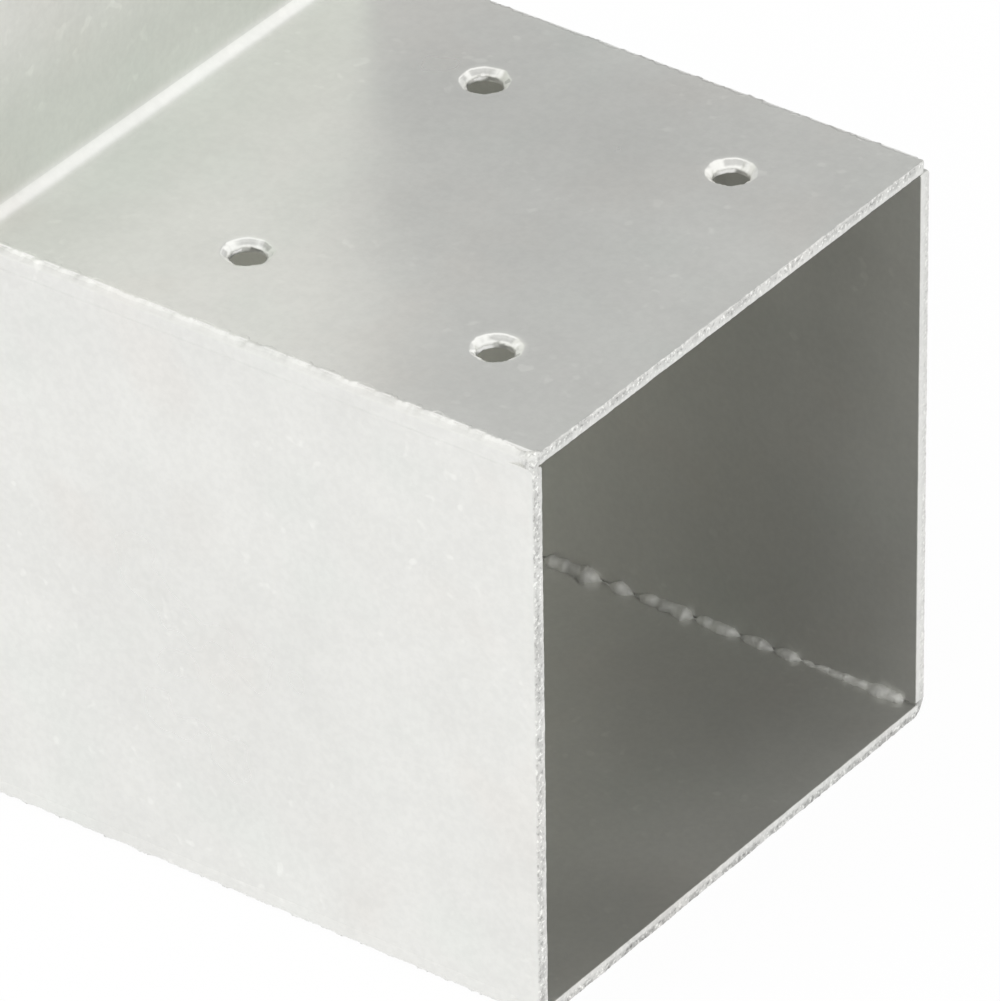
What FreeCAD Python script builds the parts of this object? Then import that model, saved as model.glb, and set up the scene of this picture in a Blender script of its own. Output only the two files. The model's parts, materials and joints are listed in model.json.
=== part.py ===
import FreeCAD, Part
import math
import os

# Corner connector for square timber posts: two square sleeves at a right angle, open to each other.
# Two flat L-shaped cheeks and two folded strips, joined by four corner welds, then galvanised.
# Frame: X along the lying sleeve to its mouth, Z up the standing sleeve, Y across the cheeks.
# The origin is under the middle of the whole, at the height of the lying sleeve's lower face.

# Driving dimensions, in millimetres
POST_WIDTH = 90.0            # side of the square timber post
POST_CLEARANCE = 1.0         # room for the post in the sleeve, both sides together
SHEET = 2.0                  # thickness of the steel sheet
SLEEVE_DEPTH = 98.0          # from the wall in the inner corner to the sleeve's mouth
BEND_RADIUS = 2.5            # on the hollow side of each fold
CORNER_EASE = 1.0            # rounding of each sheet's corners at the mouths
LEDGE = 1.3                  # how far a strip's edge stays back from the cheek's outer face
ROOT_GAP = 0.3               # slit between cheek and strip that the weld runs through
ROOT_LEG = 1.0               # leg of the weld root inside the sleeve
ROOT_BULGE = 0.25            # how far the root stands out from a flat face
BEAD_SETBACK = 1.0           # from the mouth to the end of each weld
HOLE_DIAMETER = 5.3          # screw hole
SINK_DIAMETER = 7.8          # rim of the countersink, cut at 45 degrees
HOLE_SPACING = 56.0          # across the strip
FIRST_HOLE = 20.5            # from the mouth to the first pair of holes
HOLE_PITCH = 43.0            # from the first pair to the second

# Sizes that follow
OUTER_WIDTH = POST_WIDTH + POST_CLEARANCE + 2 * SHEET
HALF_WIDTH = OUTER_WIDTH / 2
OVERALL = OUTER_WIDTH + SLEEVE_DEPTH
OUTER_BEND = BEND_RADIUS + SHEET
CHEEK_INSET = SHEET + ROOT_GAP
CROWN_RADIUS = (LEDGE ** 2 + CHEEK_INSET ** 2) / (2 * LEDGE)
ROOT_REACH = CHEEK_INSET + ROOT_LEG
SINK_DEPTH = (SINK_DIAMETER - HOLE_DIAMETER) / 2

SLANT = 0.5 ** 0.5           # sine and cosine of 45 degrees
TOLERANCE = 1e-6
ACROSS = FreeCAD.Vector(0, 1, 0)
DIAGONAL = FreeCAD.Vector(1, 0, -1)


def point(along, across, up):
    """A point given by its distance from the back face, from the middle plane and from the floor."""
    return FreeCAD.Vector(along - OVERALL / 2, across, up)


def folded_path(face, bend_middle, bend_radius, across):
    """The path from mouth to mouth at one distance from both outer faces, with its one fold."""
    nearest = bend_middle - bend_radius * SLANT
    bend_start = point(bend_middle, across, face)
    bend_end = point(face, across, bend_middle)
    return [
        Part.makeLine(point(OVERALL, across, face), bend_start),
        Part.Arc(bend_start, point(nearest, across, nearest), bend_end).toShape(),
        Part.makeLine(bend_end, point(face, across, OVERALL)),
    ]


def outer_path(inset, across):
    """The path under the lying sleeve and up the back, inset from the outer faces."""
    return folded_path(inset, OUTER_BEND, OUTER_BEND - inset, across)


def inner_path(inset, across):
    """The path over the lying sleeve and up the wall, inset from the outer faces."""
    return folded_path(OUTER_WIDTH - inset, OUTER_WIDTH + BEND_RADIUS, BEND_RADIUS + inset, across)


def face_between(first_path, second_path):
    """The flat face between two paths, closed by a straight edge at each mouth."""
    lying_mouth = Part.makeLine(first_path[0].Vertexes[0].Point, second_path[0].Vertexes[0].Point)
    standing_mouth = Part.makeLine(first_path[-1].Vertexes[-1].Point, second_path[-1].Vertexes[-1].Point)
    edges = Part.sortEdges(first_path + second_path + [lying_mouth, standing_mouth])[0]
    return Part.Face(Part.Wire(edges))


def ease_mouth_corners(sheet):
    """Round a sheet's corners at both mouths, which are its edges through the thickness there."""
    corners = []
    for edge in sheet.Edges:
        at_lying_mouth = all(abs(end.X - OVERALL / 2) < TOLERANCE for end in edge.Vertexes)
        at_standing_mouth = all(abs(end.Z - OVERALL) < TOLERANCE for end in edge.Vertexes)
        through_thickness = abs(edge.Length - SHEET) < TOLERANCE
        if through_thickness and (at_lying_mouth or at_standing_mouth):
            corners.append(edge)
    return sheet.makeFillet(CORNER_EASE, corners)


def cheek(side):
    """A flat L-shaped cheek on one side of the middle plane."""
    inner_face = side * (HALF_WIDTH - SHEET)
    outline = face_between(outer_path(CHEEK_INSET, inner_face), inner_path(CHEEK_INSET, inner_face))
    return ease_mouth_corners(outline.extrude(ACROSS * side * SHEET))


def folded_strip(path):
    """A strip over the edges of both cheeks that follows one path and is folded once."""
    half_strip = HALF_WIDTH - LEDGE
    section = face_between(path(0, -half_strip), path(SHEET, -half_strip))
    return ease_mouth_corners(section.extrude(ACROSS * 2 * half_strip))


def countersunk_hole(centre, inward):
    """The cutter of one screw hole, with its countersink at the outer face."""
    above = centre - inward * SINK_DEPTH
    sink = Part.makeCone(SINK_DIAMETER / 2 + SINK_DEPTH, HOLE_DIAMETER / 2, 2 * SINK_DEPTH, above, inward)
    bore = Part.makeCylinder(HOLE_DIAMETER / 2, SINK_DEPTH + 2 * SHEET, above, inward)
    return sink.fuse(bore)


def hole_cutters():
    """Two pairs of holes in the top of the lying sleeve, and two in the wall of the standing one."""
    cutters = []
    for from_mouth in (FIRST_HOLE, FIRST_HOLE + HOLE_PITCH):
        for across in (-HOLE_SPACING / 2, HOLE_SPACING / 2):
            top_centre = point(OVERALL - from_mouth, across, OUTER_WIDTH)
            wall_centre = point(OUTER_WIDTH, across, OVERALL - from_mouth)
            cutters.append(countersunk_hole(top_centre, FreeCAD.Vector(0, 0, -1)))
            cutters.append(countersunk_hole(wall_centre, FreeCAD.Vector(-1, 0, 0)))
    return cutters


def weld_section(corner, side, inward_up):
    """The bead's section in an open corner: outside it leaves the cheek's face smoothly and ends at the
    strip's edge, and its root stands inside the sleeve."""
    def from_faces(cheek_face, strip_face):
        return corner + FreeCAD.Vector(0, -side * cheek_face, inward_up * strip_face)

    half_turn = math.atan2(CHEEK_INSET, CROWN_RADIUS - LEDGE) / 2
    crown = from_faces(
        CROWN_RADIUS * (1 - math.cos(half_turn)), CHEEK_INSET - CROWN_RADIUS * math.sin(half_turn))
    root = (SHEET + ROOT_REACH) / 2 + ROOT_BULGE * SLANT
    cheek_edge = [from_faces(0, CHEEK_INSET), from_faces(SHEET, CHEEK_INSET), from_faces(SHEET, ROOT_REACH)]
    strip_edge = [from_faces(ROOT_REACH, SHEET), from_faces(LEDGE, SHEET), from_faces(LEDGE, 0)]
    return Part.Face(Part.Wire([
        Part.makeLine(cheek_edge[0], cheek_edge[1]),
        Part.makeLine(cheek_edge[1], cheek_edge[2]),
        Part.Arc(cheek_edge[2], from_faces(root, root), strip_edge[0]).toShape(),
        Part.makeLine(strip_edge[0], strip_edge[1]),
        Part.makeLine(strip_edge[1], strip_edge[2]),
        Part.Arc(strip_edge[2], crown, cheek_edge[0]).toShape(),
    ]))


def corner_weld(side, face, bend_middle, inward_up):
    """The bead in one open corner: a straight leg and half the fold, mirrored on the diagonal."""
    section = weld_section(point(bend_middle, side * HALF_WIDTH, face), side, inward_up)
    leg = section.extrude(FreeCAD.Vector(OVERALL - BEAD_SETBACK - bend_middle, 0, 0))
    half_bend = section.revolve(point(bend_middle, 0, bend_middle), ACROSS, 45)
    half = leg.fuse(half_bend)
    return half.fuse(half.mirror(point(0, 0, 0), DIAGONAL))


def outer_weld(side):
    """The weld along the lower and back edge of one cheek."""
    return corner_weld(side, 0, OUTER_BEND, 1)


def inner_weld(side):
    """The weld along the edge of one cheek in the inner corner."""
    return corner_weld(side, OUTER_WIDTH, OUTER_WIDTH + BEND_RADIUS, -1)


def build_pieces():
    """Every piece by its name."""
    return {
        "near_cheek": cheek(-1),
        "far_cheek": cheek(1),
        "inner_strip": folded_strip(inner_path).cut(hole_cutters()),
        "outer_strip": folded_strip(outer_path),
        "inner_near_weld": inner_weld(-1),
        "inner_far_weld": inner_weld(1),
        "outer_near_weld": outer_weld(-1),
        "outer_far_weld": outer_weld(1),
    }


def main():
    """Build the pieces and write each one to its own file."""
    os.makedirs("parts", exist_ok=True)
    for name, shape in build_pieces().items():
        solid = shape.removeSplitter()
        print(name, "valid", solid.isValid(), "solids", len(solid.Solids), "volume", round(solid.Volume, 1))
        solid.exportStep("parts/%s.step" % name)


main()
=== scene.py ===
"""Looks of a galvanised post connector: sheets with cut edges, lumpy weld beads, stage and camera."""

import json
import math
import random

import bmesh
import bpy
from bpy.props import FloatProperty, FloatVectorProperty, IntProperty, PointerProperty
from mathutils import Matrix, Vector, kdtree, noise
from mathutils.geometry import delaunay_2d_cdt


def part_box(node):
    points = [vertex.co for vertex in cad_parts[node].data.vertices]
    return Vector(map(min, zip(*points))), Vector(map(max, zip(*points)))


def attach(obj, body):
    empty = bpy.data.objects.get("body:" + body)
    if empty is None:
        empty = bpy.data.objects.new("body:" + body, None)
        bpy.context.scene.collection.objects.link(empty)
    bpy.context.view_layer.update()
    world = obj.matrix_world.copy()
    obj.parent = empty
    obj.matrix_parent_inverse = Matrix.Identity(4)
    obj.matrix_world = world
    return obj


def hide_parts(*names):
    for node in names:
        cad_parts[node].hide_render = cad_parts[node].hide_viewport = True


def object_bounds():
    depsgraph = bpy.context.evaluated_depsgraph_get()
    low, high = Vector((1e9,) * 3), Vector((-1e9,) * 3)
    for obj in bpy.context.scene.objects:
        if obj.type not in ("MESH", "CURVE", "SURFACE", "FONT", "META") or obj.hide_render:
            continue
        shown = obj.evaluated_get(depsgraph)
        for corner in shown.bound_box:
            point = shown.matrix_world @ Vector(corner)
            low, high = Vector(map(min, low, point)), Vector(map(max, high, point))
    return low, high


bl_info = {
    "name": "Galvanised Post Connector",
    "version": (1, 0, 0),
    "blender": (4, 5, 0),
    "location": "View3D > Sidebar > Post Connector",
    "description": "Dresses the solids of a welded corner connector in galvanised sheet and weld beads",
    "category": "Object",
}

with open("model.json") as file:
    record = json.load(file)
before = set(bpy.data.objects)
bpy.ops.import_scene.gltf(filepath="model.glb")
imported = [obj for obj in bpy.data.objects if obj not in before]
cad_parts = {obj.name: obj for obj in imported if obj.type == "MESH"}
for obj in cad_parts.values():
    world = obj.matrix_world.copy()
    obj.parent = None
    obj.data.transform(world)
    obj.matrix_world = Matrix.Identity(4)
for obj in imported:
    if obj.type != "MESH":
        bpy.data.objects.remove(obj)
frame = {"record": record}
CAD_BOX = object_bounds()

# Sizes of the frame, in metres
MM = 0.001
CHEEK_LOW, CHEEK_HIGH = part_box("near_cheek")
STRIP_LOW, STRIP_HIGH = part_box("outer_strip")
MOUNTS = {mount["name"]: mount for mount in frame["record"]["mounts"]}
SHEET = CHEEK_HIGH.y - CHEEK_LOW.y
HALF_WIDTH = -CHEEK_LOW.y
OUTER_WIDTH = 2 * HALF_WIDTH
OVERALL = STRIP_HIGH.z
BACK = STRIP_LOW.x
MOUTH = STRIP_HIGH.x
HALF_STRIP = STRIP_HIGH.y
CHEEK_INSET = CHEEK_LOW.z
LEDGE = HALF_WIDTH - HALF_STRIP
CHEEK_SINK = 0.03 * MM
INNER_LOW = SHEET
INNER_HIGH = OUTER_WIDTH - SHEET

WELDS = {
    "inner_near_weld": (-1, "inner"),
    "inner_far_weld": (1, "inner"),
    "outer_near_weld": (-1, "outer"),
    "outer_far_weld": (1, "outer"),
}

# How metallic the zinc is in the open
ZINC_METAL = 0.82

# Wear of the sheets' cut edges, with their painted glints: its strength, and how fast it fades towards the
# back face
EVEN_WEAR = (1.0, 1.0)
CHEEK_WEAR = {"near_cheek": (1.0, 0.4), "far_cheek": (0.45, 1.0)}

# Lumps of the root that shows inside the lying sleeve: start and end in mm from the mouth, size at the
# start, and the share by which it narrows
SHOWN_LUMPS = (
    (2.0, 11.0, 1.10, 0.50), (7.2, 18.2, 0.66, 0.35), (17.2, 20.6, 0.36, 0.00), (20.3, 25.0, 0.74, 0.10),
    (25.3, 31.2, 0.84, 0.20), (31.4, 39.3, 0.94, 0.25), (39.7, 49.8, 1.08, 0.30), (50.6, 54.7, 1.00, 0.10),
    (56.5, 66.8, 1.20, 0.30),
)


def length_property(name, description, millimetres):
    """A length that a user may change."""
    return FloatProperty(
        name=name, description=description, default=millimetres * MM, unit="LENGTH", precision=5)


def bead_lengths(name, description, *millimetres):
    """A length for each weld bead, in the order of WELDS."""
    return FloatVectorProperty(
        name=name, description=description, size=len(millimetres),
        default=tuple(level * MM for level in millimetres), unit="LENGTH", precision=5)


def bead_levels(name, description, *levels):
    """A bare number for each weld bead, in the order of WELDS."""
    return FloatVectorProperty(name=name, description=description, size=len(levels), default=levels)


def colour_property(name, description, *channels):
    """A colour that a user may change."""
    return FloatVectorProperty(name=name, description=description, subtype="COLOR", default=channels)


class SheetSettings(bpy.types.PropertyGroup):
    """Sizes of the sheets and their cut edges."""
    bend_radius: length_property("Bend radius", "Radius on the hollow side of each fold", 2.5)
    corner_ease: length_property("Corner ease", "Rounding of each sheet's corners at the mouths", 0.45)
    edge_round: length_property("Edge round", "Rounding of the cut edges under the zinc", 0.20)
    mouth_step: length_property(
        "Mouth step", "Distance between points along the edges at the mouths", 0.22)
    side_step: length_property(
        "Side step", "Distance between points along the edges under the beads", 0.6)
    near_cheek_wander: length_property(
        "Near cheek wander", "Unevenness of the near cheek's sheared edges", 0.36)
    far_cheek_wander: length_property(
        "Far cheek wander", "Unevenness of the far cheek's sheared edges", 0.10)
    inner_strip_wander: length_property(
        "Inner strip wander", "Unevenness of the inner strip's sheared edges", 0.30)
    outer_strip_wander: length_property(
        "Outer strip wander", "Unevenness of the outer strip's sheared edges", 0.22)
    sink_diameter: length_property(
        "Countersink", "Width of the countersinks within their rounded rims", 7.2)
    sink_wander: length_property(
        "Countersink wander", "Unevenness of the zinc in the countersinks", 0.42)
    bore_shift: length_property(
        "Bore shift", "How far a hole may lie off the middle of its countersink", 0.35)
    seed: IntProperty(name="Seed", description="Start of the random unevenness", default=7, min=1)


class WeldSettings(bpy.types.PropertyGroup):
    """Sizes of the weld beads."""
    step: length_property("Step", "Distance between rings along a bead", 0.35)
    toe: length_property("Toe", "How far the bead's toe runs over the strip", 0.3)
    drift: length_property("Drift", "How far the bead's toe wanders over the strip", 0.8)
    slope: FloatProperty(
        name="Slope", description="Angle between the bead and the strip beside it",
        default=math.radians(30), subtype="ANGLE")
    rounding: bead_lengths(
        "Rounding", "Radius of each bead where it turns to the cheek", 0.5, 0.5, 2.2, 2.5)
    lump_length: length_property("Lump length", "Usual length of a lump", 5.0)
    swell: FloatProperty(
        name="Swell", description="How far the bead swells, as a share of its size",
        default=0.06, min=0.0, max=0.6)
    grain: length_property("Grain", "Height of the fine unevenness of the zinc on the bead", 0.06)
    ends: bead_lengths("Ends", "Distance of each bead's ends from the mouths", 0.1, 1.3, 0.3, 0.05)
    end_round: bead_lengths("End round", "Length of each bead's rounded ends", 0.35, 0.9, 0.5, 0.15)
    end_grain: bead_lengths(
        "End grain", "Further unevenness at the ends of each bead", 0.70, 0.25, 0.35, 0.10)
    end_dent: bead_levels(
        "End dent", "Depth of the dent behind each bead's ends, as a share of its size",
        0.30, 0.0, 0.10, 0.0)
    # End wear and Wear set the worn zinc at each bead's ends, which also carries painted glints; on the
    # inner near bead it reaches over the dent behind its end, where its darker tone is also painted shade
    end_wear_and_shade: bead_lengths(
        "End wear", "Length of the worn zinc at the ends of each bead", 4.0, 1.2, 1.2, 1.2)
    wear: FloatProperty(
        name="Wear", description="How worn the zinc is at the ends of a bead",
        default=0.8, subtype="FACTOR", min=0.0, max=1.0)
    # Dull and Bright set the painted sheen along each bead's toe: painted highlights with darker breaks
    # between them
    dull: bead_levels("Dull", "Tone of the dull breaks along each bead's toe", -0.75, -1.2, -0.5, -0.5)
    bright: bead_levels("Bright", "Tone of each bead's toe between the breaks", 0.40, -0.6, 0.1, 0.0)
    root_size: length_property(
        "Root size", "Half the width of the largest lumps of the root inside the sleeve", 1.05)
    root_end: length_property("Root end", "Distance of a root's ends from the mouths", 2.2)
    root_round: length_property("Root round", "Length of a root's rounded ends", 0.5)
    root_drift: length_property("Root drift", "How far a root wanders over the strip", 0.5)
    root_grain: length_property("Root grain", "Height of the unevenness of a root's lumps", 0.20)
    root_swell: FloatProperty(
        name="Root swell", description="How far a root swells, as a share of its size",
        default=0.5, min=0.0, max=0.6)
    # Root dull and Root bright set the painted sheen on a root's lumps: painted highlights with darker
    # breaks between them
    root_dull: FloatProperty(
        name="Root dull", description="Tone of the dull breaks along a root", default=-0.9)
    root_bright: FloatProperty(
        name="Root bright", description="Tone of a root between the breaks", default=0.5)
    seed: IntProperty(name="Seed", description="Start of the random unevenness", default=7)


class FinishSettings(bpy.types.PropertyGroup):
    """Colours of the zinc; Inside, Root and Wall darken it as painted shade."""
    zinc: colour_property("Zinc", "Colour of the sheets", 0.80, 0.80, 0.775)
    # Inside and Root are the zinc inside the sleeves, darker than Zinc and Weld as painted shade
    inside: colour_property("Inside", "Duller zinc inside the sleeves", 0.708, 0.708, 0.680)
    weld: colour_property("Weld", "Colour of the weld beads", 0.81, 0.81, 0.785)
    root: colour_property("Root", "Colour of the weld roots inside the sleeves", 0.72, 0.72, 0.69)
    # Wall: painted shade, with a faint green tint, on the foot of the standing sleeve's inner wall
    wall: colour_property("Wall", "Cast of the standing sleeve's inner wall", 0.80, 0.83, 0.80)
    roughness: FloatProperty(
        name="Roughness", description="Roughness of the zinc",
        default=0.30, subtype="FACTOR", min=0.0, max=1.0)


def value_first(operation):
    """A method that adds a Math node with the value as its first number."""
    def method(self, other=0.0):
        return self.graph.maths(operation, self, other)
    return method


def value_second(operation):
    """The reflected method, with the value as its second number."""
    def method(self, other):
        return self.graph.maths(operation, other, self)
    return method


class Value:
    """A socket that takes part in Python expressions, each of which adds a Math node."""

    def __init__(self, graph, socket):
        self.graph = graph
        self.socket = socket

    __add__ = value_first("ADD")
    __radd__ = value_second("ADD")
    __sub__ = value_first("SUBTRACT")
    __rsub__ = value_second("SUBTRACT")
    __mul__ = value_first("MULTIPLY")
    __rmul__ = value_second("MULTIPLY")
    __truediv__ = value_first("DIVIDE")
    __rtruediv__ = value_second("DIVIDE")
    __pow__ = value_first("POWER")
    __rpow__ = value_second("POWER")
    __gt__ = value_first("GREATER_THAN")
    __lt__ = value_first("LESS_THAN")
    __abs__ = value_first("ABSOLUTE")
    at_most = value_first("MINIMUM")
    at_least = value_first("MAXIMUM")


class Graph:
    """The nodes of one tree."""

    def __init__(self, tree):
        self.tree = tree
        self.tree.nodes.clear()

    def node(self, kind, settings=None, inputs=None, output=0):
        """Add a node: its settings first, then the values or links of its sockets."""
        made = self.tree.nodes.new(kind)
        for name, value in (settings or {}).items():
            setattr(made, name, value)
        for name, value in (inputs or {}).items():
            if isinstance(value, Value):
                self.tree.links.new(value.socket, made.inputs[name])
            else:
                made.inputs[name].default_value = value
        return Value(self, made.outputs[output]) if made.outputs else made

    def outputs(self, kind, names, inputs=None):
        """Add a node and give several of its outputs."""
        first = self.node(kind, None, inputs, output=names[0])
        return [Value(self, first.socket.node.outputs[name]) for name in names]

    def maths(self, operation, first, second):
        return self.node("ShaderNodeMath", {"operation": operation}, {0: first, 1: second})

    def mix_colour(self, share, first, second, blend="MIX"):
        settings = {"data_type": "RGBA", "blend_type": blend}
        return self.node("ShaderNodeMix", settings, {0: share, 6: first, 7: second}, output=2)

    def steps(self, value, low, high, bottom=0.0, top=1.0):
        """A smooth rise from one level to another."""
        settings = {"interpolation_type": "SMOOTHSTEP"}
        levels = {"Value": value, "From Min": low, "From Max": high, "To Min": bottom, "To Max": top}
        return self.node("ShaderNodeMapRange", settings, levels)

    def noise(self, place, scale, detail=2.0, rough=0.5, seed=None):
        """Noise in space, which a seed may vary."""
        settings = {"noise_dimensions": "3D" if seed is None else "4D"}
        levels = {"Vector": place, "Scale": scale, "Detail": detail, "Roughness": rough}
        if seed is not None:
            levels["W"] = seed
        return self.node("ShaderNodeTexNoise", settings, levels)

    def vector_maths(self, operation, first, second):
        return self.node("ShaderNodeVectorMath", {"operation": operation}, {0: first, 1: second})

    def scaled(self, vector, factor):
        levels = {"Vector": vector, "Scale": factor}
        return self.node("ShaderNodeVectorMath", {"operation": "SCALE"}, levels)


def opaque(colour):
    """A colour with full alpha."""
    return (*colour, 1.0)


class ZincPoint:
    """A point of the zinc in a shader: where it lies, and whether that is inside the sleeves."""

    def __init__(self, graph):
        self.graph = graph
        self.place = graph.node("ShaderNodeTexCoord", output="Object")
        self.along, self.across, self.up = graph.outputs(
            "ShaderNodeSeparateXYZ", ("X", "Y", "Z"), {"Vector": self.place})
        slack = 0.06 * MM
        between_cheeks = abs(self.across) < HALF_WIDTH - SHEET + slack
        within_outer = (self.up > INNER_LOW - slack) * (self.along > BACK + INNER_LOW - slack)
        within_inner = (self.up < INNER_HIGH + slack).at_least(self.along < BACK + INNER_HIGH + slack)
        self.inside = between_cheeks * within_outer * within_inner

    def noise(self, scale, **options):
        return self.graph.noise(self.place, scale, **options)

    def patch(self, middle, core, edge, strength):
        """A tone that is full within the core of a patch and gone at its edge."""
        away = self.graph.node(
            "ShaderNodeVectorMath", {"operation": "DISTANCE"}, {0: self.place, 1: middle}, output="Value")
        return self.graph.steps(away, core, edge, strength, 0.0)


def wall_shade_share(point):
    """How much a point gets the painted shade, with a faint green tint, at the foot of the standing
    sleeve's inner wall.
    """
    graph = point.graph
    on_wall = (point.along > BACK + OUTER_WIDTH - 2 * SHEET) * (1.0 - point.inside)
    between_edges = graph.steps(abs(point.across), HALF_WIDTH, HALF_STRIP)
    foot = graph.steps(point.up, OUTER_WIDTH + 0.5 * MM, OUTER_WIDTH + 3.5 * MM)
    fade = graph.steps(point.up, OUTER_WIDTH + 10.0 * MM, OUTER_WIDTH + 34.0 * MM, 1.0, 0.0)
    return on_wall * between_edges * foot * fade


def inside_painted_light(point):
    """The tone inside the sleeves: painted light deep within, standing for light from the standing
    sleeve's open mouth; a painted shade low on the far cheek's inside near the mouth; darker in a patch on
    the inside floor by the mouth and higher up behind the mouth; and a painted light along the far cheek
    by the mouth.
    """
    graph = point.graph
    painted_deep_light = graph.steps(point.along, 45.0 * MM, -25.0 * MM, 1.0, 1.36)
    far_painted_shade = point.patch((79.0 * MM, 46.0 * MM, 20.0 * MM), 5.0 * MM, 54.0 * MM, 0.14)
    front_patch = point.patch((94.0 * MM, -26.0 * MM, SHEET), 6.0 * MM, 26.0 * MM, 0.07)
    by_mouth = graph.steps(point.along, 80.0 * MM, 94.0 * MM)
    behind_mouth = graph.steps(point.along, 35.0 * MM, 60.0 * MM) * (1.0 - by_mouth)
    upper = graph.steps(point.up, 28.0 * MM, 56.0 * MM, 0.0, 0.07) * behind_mouth
    painted_mouth_light = by_mouth * (point.across > INNER_HIGH - HALF_WIDTH - 1.0 * MM) * 0.05
    return painted_deep_light * (1.0 - far_painted_shade) * (1.0 - upper - front_patch + painted_mouth_light)


def top_painted_light(point):
    """Painted light on the top of the lying sleeve, standing for its reflections: strongest by its fold,
    with two patches of painted shade.
    """
    graph = point.graph
    at_level = (point.up > OUTER_WIDTH - 0.4 * MM) * (point.up < OUTER_WIDTH + 1.5 * MM)
    on_top = at_level * (point.along > BACK + OUTER_WIDTH)
    fold_painted_light = graph.steps(point.along, 40.0 * MM, 0.0, 0.0, 0.10)
    far_side = graph.steps(point.across, -40.0 * MM, 0.0, 0.6, 1.2)
    middle_painted_shade = point.patch((50.0 * MM, 10.0 * MM, OUTER_WIDTH), 14.0 * MM, 46.0 * MM, 0.05)
    end_painted_shade = point.patch((78.0 * MM, 42.0 * MM, OUTER_WIDTH), 6.0 * MM, 30.0 * MM, 0.05)
    return on_top * (0.05 + fold_painted_light * far_side - middle_painted_shade - end_painted_shade)


def cut_tone(point):
    """The tone of worn cut edges: painted glints, which are painted highlights, among dark shear marks and
    pits; the shear marks darken further near the ground as painted shade.
    """
    graph = point.graph
    shear = point.noise(440.0)
    pits = point.noise(1700.0, detail=1.0)
    painted_ground_shade = graph.steps(point.up, 2.0 * MM, 12.0 * MM, 1.6, 1.0)
    shear_marks_and_ground_shade = graph.steps(shear, 0.62, 0.40, 0.08, 0.26) * painted_ground_shade
    dark_pits = graph.steps(pits, 0.42, 0.30, 0.0, 0.30)
    painted_glints = graph.steps(pits, 0.57, 0.66, 0.0, 0.35)
    return painted_glints - (shear_marks_and_ground_shade + dark_pits)


def mottled_tone(point, patches, grain):
    """Faint mottling in three sizes, with bright flecks in clusters."""
    graph = point.graph
    flecks = point.noise(420.0, detail=1.0)
    clusters = point.noise(55.0, detail=2.0, seed=7.0)
    clouds = point.noise(130.0, detail=3.0, rough=0.6, seed=9.0)
    mottling = graph.steps(patches, 0.3, 0.7, 0.97, 1.02) * graph.steps(grain, 0.3, 0.7, 0.98, 1.02)
    mottling = mottling * graph.steps(clouds, 0.3, 0.7, 0.985, 1.015)
    return mottling + graph.steps(flecks, 0.62, 0.74, 0.0, 0.09) * graph.steps(clusters, 0.45, 0.65)


def with_cast(point, colour):
    """A colour that turns faintly warm or cool in broad patches."""
    graph = point.graph
    cast = point.noise(46.0, detail=2.0, seed=5.0)
    warm = graph.steps(cast, 0.52, 0.72, 0.0, 0.5)
    cool = graph.steps(cast, 0.48, 0.28, 0.0, 0.5)
    warmed = graph.mix_colour(warm, colour, (1.0, 0.975, 0.965, 1.0), blend="MULTIPLY")
    return graph.mix_colour(cool, warmed, (0.975, 1.0, 0.99, 1.0), blend="MULTIPLY")


def zinc_material(name, colour, shaded_inside_colour, inside_metal, inside_dullness, grain_height):
    """Galvanised zinc, made once: mottled, worn on cut edges, and duller inside the sleeves, with painted
    light and shade: painted shade inside the sleeves and at the standing wall's foot, painted light on
    top, and painted glints and highlights.
    """
    made = bpy.data.materials.get(name)
    if made is not None:
        return made
    painted_sheen_strength = 0.18
    cut_dullness = 0.12
    finish = bpy.context.scene.connector_finish
    material = bpy.data.materials.new(name)
    material.use_nodes = True
    graph = Graph(material.node_tree)
    point = ZincPoint(graph)
    cut = graph.node("ShaderNodeAttribute", {"attribute_name": "cut"}, output="Fac")
    # Painted sheen: painted highlights on the countersinks' cones and along the beads' toes and roots, and
    # a darker tone where it is below zero
    fresh = graph.node("ShaderNodeAttribute", {"attribute_name": "fresh"}, output="Fac")
    patches = point.noise(30.0, detail=3.0, seed=1.0)
    grain = point.noise(900.0, rough=0.6)
    ripple = point.noise(150.0, detail=1.0)

    # Inside the sleeves the colour is darker as painted shade and carries the inside's painted light and
    # shade; the standing wall's foot gets a painted shade
    painted_inside_base = graph.scaled(tuple(shaded_inside_colour), inside_painted_light(point))
    base = graph.mix_colour(point.inside, opaque(colour), painted_inside_base)
    base = graph.mix_colour(wall_shade_share(point), base, opaque(finish.wall), blend="MULTIPLY")
    tone = mottled_tone(point, patches, grain) + top_painted_light(point)
    tone = tone + fresh * painted_sheen_strength + cut * cut_tone(point)

    uneven = graph.steps(patches, 0.3, 0.7, -0.03, 0.04)
    dullness = finish.roughness + uneven + point.inside * inside_dullness + cut * cut_dullness
    height = grain * (grain_height * (1.0 + 2.5 * cut)) + ripple * (grain_height * 2.0)
    bump = graph.node("ShaderNodeBump", None, {"Strength": 0.6, "Distance": 1.0, "Height": height})
    surface = graph.node("ShaderNodeBsdfPrincipled", None, {
        "Base Color": with_cast(point, graph.scaled(base, tone)),
        "Metallic": ZINC_METAL - point.inside * (ZINC_METAL - inside_metal),
        "Roughness": dullness,
        "Normal": bump,
    })
    graph.node("ShaderNodeOutputMaterial", None, {"Surface": surface})
    return material


def sheet_material():
    """The sheets' zinc."""
    finish = bpy.context.scene.connector_finish
    return zinc_material("galvanised_sheet_zinc", finish.zinc, finish.inside, ZINC_METAL, 0.05, 0.010 * MM)


def weld_material():
    """The weld beads' zinc, which is duller and less metallic inside the sleeves, where its darker colour
    is painted shade.
    """
    finish = bpy.context.scene.connector_finish
    return zinc_material("galvanised_weld_zinc", finish.weld, finish.root, 0.5, 0.3, 0.020 * MM)


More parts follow.
